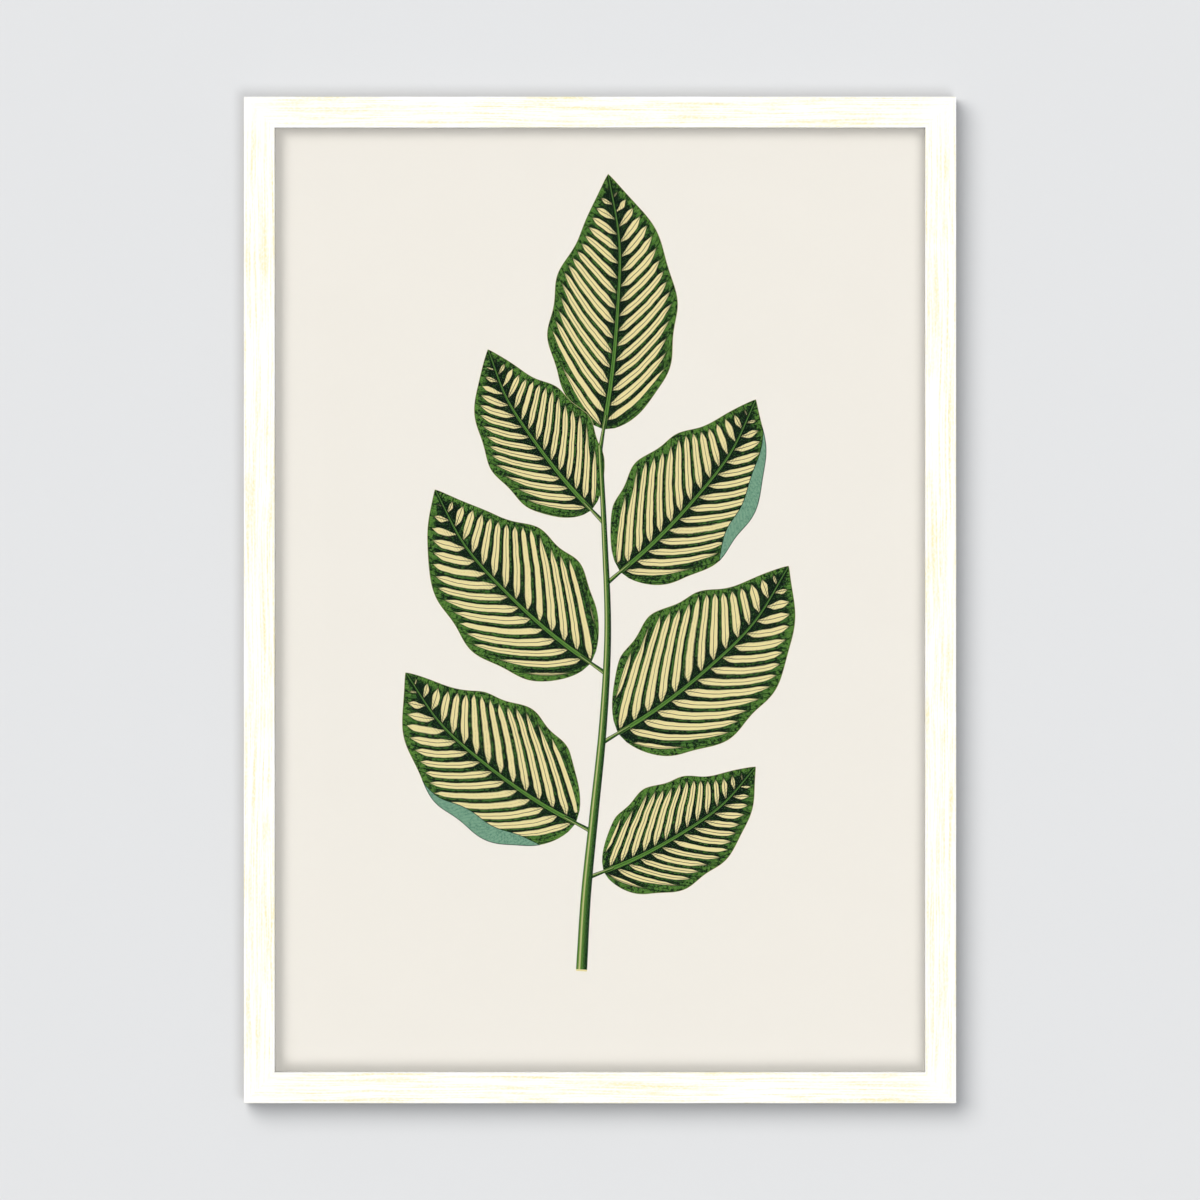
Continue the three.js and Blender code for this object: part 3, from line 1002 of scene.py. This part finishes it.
# round-headed things pushed into the wood, one at each vertex, facing the wall
def fastenerTree(name, sizes):
    make, given = newTree(name, sizes, Seed="Int")

    def cylinder(radius, height, around, fills):
        inputs = {"Vertices": around, "Fill Segments": fills, "Radius": radius, "Depth": height}
        return make("GeometryNodeMeshCylinder", inputs, "Mesh")

    def raised(geometry, z):
        return make("GeometryNodeTransform", {"Geometry": geometry, "Translation": point(0, 0, z)})

    radius, height, rim = (given[key] for key in ("Head Radius", "Head Height", "Rim Height"))
    head = raised(cylinder(radius, height, 40, 8), height / 2)
    x, y, z = axes(make("GeometryNodeInputPosition"))
    out = calc("SQRT", x ** 2 + y ** 2) / radius
    crown = (1.0 - calc("MINIMUM", out, 0.999) ** 3) ** 0.6
    roof = rim + (height - rim) * crown
    domed = point(x, y, z / height * roof)
    head = make("GeometryNodeSetPosition", {"Geometry": head, "Position": domed})
    if "Slot Length" in sizes:
        size = point(given["Slot Length"], given["Slot Width"], given["Slot Depth"] * 2)
        bar = raised(make("GeometryNodeMeshCube", {"Size": size}), height)
        crossBar = make("GeometryNodeTransform", {"Geometry": bar, "Rotation": (0, 0, math.pi / 2)})
        how = {"operation": "DIFFERENCE", "solver": "EXACT"}
        cut = addNode(treeOf(head), "GeometryNodeMeshBoolean", {0: head}, **how)
        plug(bar, cut.inputs[1])
        plug(crossBar, cut.inputs[1])
        head = Wire(cut.outputs[0])
    if "Shank Length" in sizes:
        length = given["Shank Length"]
        shank = cylinder(given["Shank Radius"], length, 20, 1)
        head = joined(head, raised(shank, 0.1 * mm - length / 2))
    turns = {2: 0.0, 3: 2 * math.pi, "Seed": given["Seed"]}
    spin = make("FunctionNodeRandomValue", turns, 1, data_type="FLOAT")
    placed = make("GeometryNodeInstanceOnPoints", {
        "Points": given["Geometry"], "Instance": head, "Rotation": point(-math.pi / 2, spin, 0)})
    return endTree(placed, given)


# the middle of each named node, seen from behind, at one depth
def seats(nodes, y):
    boxes = [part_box(node) for node in nodes]
    return [((low.x + high.x) / 2, y, (low.z + high.z) / 2) for low, high in boxes]


fasteners = {
    "pivot_screws": {
        "nodes": [f"pivot_screw_{side}_{n}" for side in sides for n in (1, 2)], "above": 1.25 * mm,
        "slot": "bright_steel", "finish": brightFinish,
        "sizes": {"Head Radius": 3.25 * mm, "Head Height": 1.5 * mm, "Rim Height": 0.5 * mm,
                  "Shank Radius": 1.45 * mm, "Shank Length": 9 * mm, "Slot Length": 3.5 * mm,
                  "Slot Width": 0.8 * mm, "Slot Depth": 0.75 * mm, "Seed": 4}},
    "hanger_nails": {
        "nodes": ["hanger_nail_1", "hanger_nail_2"], "above": 1.0 * mm,
        "slot": "bright_steel", "finish": brightFinish,
        "sizes": {"Head Radius": 1.9 * mm, "Head Height": 0.75 * mm, "Rim Height": 0.4 * mm,
                  "Shank Radius": 0.7 * mm, "Shank Length": 8 * mm, "Seed": 2}},
    "wall_bumpers": {
        "nodes": ["bumper_left", "bumper_right"], "above": 0.0,
        "slot": "clear_rubber", "finish": newMaterial(clearRubber),
        "sizes": {"Head Radius": 5.5 * mm, "Head Height": 3.0 * mm, "Rim Height": 2.0 * mm, "Seed": 1}},
}
for name, kind in fasteners.items():
    piece = meshObject(name, seats(kind["nodes"], back + kind["above"]), [])
    growMesh(piece, fastenerTree(name, kind["sizes"]), {**kind["sizes"], "Material": kind["finish"]})
    dress(piece, "frame", kind["slot"], *kind["nodes"])
print("screws, nails and feet ready")


wedges = {
    "leg": 5 * mm,
    "thick": 0.6 * mm,
    "proud": 0.04 * mm,
    "tree": {"Height": 7.5 * mm, "First Inset": 3 * mm, "Step": 6 * mm},
}


# two bent steel wedges across each mitre, from one outline
def wedgeTree():
    labels = "Frame Width", "Frame Height", "Middle", *wedges["tree"]
    make, given = newTree("cornerWedges", labels, Middle="Vector")
    outline = make("GeometryNodeMeshToCurve", {0: given["Geometry"]})
    flat = make("GeometryNodeFillCurve", {0: outline})
    raised = make("GeometryNodeExtrudeMesh", {
        "Mesh": flat, "Offset": (0, 0, 1), "Offset Scale": given["Height"], "Individual": False})
    closed = joined(raised, make("GeometryNodeFlipFaces", {0: flat}))
    solid = make("GeometryNodeMergeByDistance", {"Geometry": closed, "Distance": 1e-6})
    # the outline lies flat and is tipped, so that its height runs forwards into the wood
    solid = make("GeometryNodeTransform", {"Geometry": solid, "Rotation": (math.pi / 2, 0, 0)})
    points = make("GeometryNodePoints", {"Count": 8})
    index = make("GeometryNodeInputIndex")
    corner = index % 4
    inset = given["First Inset"] + given["Step"] * calc("FLOOR", index / 4)
    signX = 1.0 - calc("FLOOR", corner / 2) * 2
    signZ = 1.0 - calc("FLOOR", (corner + 1) / 2) % 2 * 2
    x = signX * (given["Frame Width"] / 2 - inset)
    z = signZ * (given["Frame Height"] / 2 - inset)
    seat = movedBy(point(x, 0, z), given["Middle"])
    spread = make("GeometryNodeSetPosition", {"Geometry": points, "Position": seat})
    turn = point(0, corner * (math.pi / 2), 0)
    placed = make("GeometryNodeInstanceOnPoints", {"Points": spread, "Instance": solid, "Rotation": turn})
    return endTree(placed, given)


leg, thick = -wedges["leg"], -wedges["thick"]
wedgeOutline = [(0, 0, 0), (leg, 0, 0), (leg, thick, 0), (thick, thick, 0), (thick, leg, 0), (0, leg, 0)]
wedgePiece = meshObject("corner_wedges", wedgeOutline, [], edges=[(i, (i + 1) % 6) for i in range(6)])
growMesh(wedgePiece, wedgeTree(), {
    **wedges["tree"], "Frame Width": width, "Frame Height": height,
    "Middle": (middle.x, back + wedges["proud"], middle.z), "Material": brightFinish})
pairs = zip(sides, sides[1:] + sides[:1])
dress(wedgePiece, "frame", "bright_steel", *(f"corner_wedge_{a}_{b}_{n}" for a, b in pairs for n in (1, 2)))
print("corner wedges ready")


buttonShape = {
    "width": 10 * mm,
    "reach": 20 * mm,  # from the pivot to the tip
    "tip": 3 * mm,
    "thick": 0.75 * mm,
    "hole": 2 * mm,
    "rib": 0.35 * mm,
    "ribHalf": 1.7 * mm,
    "ribFrom": 7.5 * mm,
    "ribTo": 16.5 * mm,
    "rings": (0.0, 0.02, 0.12, 0.24, 0.36, 0.48, 0.60, 0.72, 0.84, 0.93, 0.975, 1.0),  # from hole to rim
    "rounding": (0.14 * mm, 0.04 * mm),  # of the outermost ring at the hole and the rim, and of the next one
}


# a round end, two straight sides and a blunt tip, from the pivot
def buttonOutline(shape, arcSteps=18):
    half, tip, reach = shape["width"] / 2, shape["tip"], shape["reach"]
    straight = np.linspace(1 * mm, reach - tip - 1 * mm, 14)

    def arc(centreX, centreZ, radius, start, end, count):
        return [(centreX + radius * math.cos(a), centreZ + radius * math.sin(a))
                for a in np.linspace(start * math.pi, end * math.pi, count)]

    points = arc(0, 0, half, 0, 1, 2 * arcSteps)
    points += [(-half, -z) for z in straight]
    points += arc(tip - half, tip - reach, tip, 1, 1.5, arcSteps // 2)
    points += [(x, -reach) for x in np.linspace(tip - half, half - tip, 5)[1:-1]]
    points += arc(half - tip, tip - reach, tip, 1.5, 2, arcSteps // 2)
    points += [(half, -z) for z in straight[::-1]]
    return points


# a turn button pressed from strip: rounded edges, a hole and a stiffening rib
def stampedButton(name, pivot, quarter):
    shape = buttonShape
    rim = buttonOutline(shape)
    rings = shape["rings"]
    roundings = dict(zip((rings[0], rings[1], rings[-1], rings[-2]), shape["rounding"] * 2))
    cos, sin = ((1, 0), (0, 1), (-1, 0), (0, -1))[quarter]
    points = []
    for upper in (True, False):
        for ring in rings:
            for rimX, rimZ in rim:
                holeX, holeZ = (part / math.hypot(rimX, rimZ) * shape["hole"] for part in (rimX, rimZ))
                x, z = holeX + (rimX - holeX) * ring, holeZ + (rimZ - holeZ) * ring
                onRib = min(max(-z, shape["ribFrom"]), shape["ribTo"])
                fromRib = math.hypot(x, -z - onRib) / shape["ribHalf"]
                lift = shape["rib"] * max(0.0, 1 - fromRib ** 2) ** 1.5
                edge = roundings.get(ring, 0)
                y = shape["thick"] - edge + lift if upper else edge + lift * 0.85
                points.append((pivot[0] + x * cos + z * sin, pivot[1] + y, pivot[2] - x * sin + z * cos))
    faces = skinFaces(len(rings) - 1, len(rim), closed=True)
    return meshObject(name, points, faces, zincFinish, smooth=True)


for quarter, side in enumerate(sides):
    for number in (1, 2):
        node = f"turn_button_{side}_{number}"
        pivot = seats([f"pivot_screw_{side}_{number}"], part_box(node)[0].y)[0]
        button = stampedButton(f"stamped_{node}", pivot, quarter)
        dress(button, node, "zinc_steel", node)
print("turn buttons ready")


# a copy of a node with its doubles merged and its edges eased
def softened(name, node, material, width):
    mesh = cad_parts[node].data.copy()
    work = bmesh.new()
    work.from_mesh(mesh)
    bmesh.ops.remove_doubles(work, verts=work.verts, dist=1e-6)
    bmesh.ops.dissolve_limit(work, angle_limit=math.radians(1), verts=work.verts, edges=work.edges)
    work.to_mesh(mesh)
    work.free()
    repaint(mesh, material)
    piece = newObject(name, mesh)
    bevel = piece.modifiers.new("eased", "BEVEL")
    bevel.width, bevel.segments, bevel.limit_method = width, 2, "ANGLE"
    bevel.angle_limit = math.radians(28)
    applyModifiers(piece)
    return piece


hanger = softened("stamped_sawtooth_hanger", "sawtooth_hanger", zincFinish, 0.12 * mm)
dress(hanger, "frame", "zinc_steel", "sawtooth_hanger")
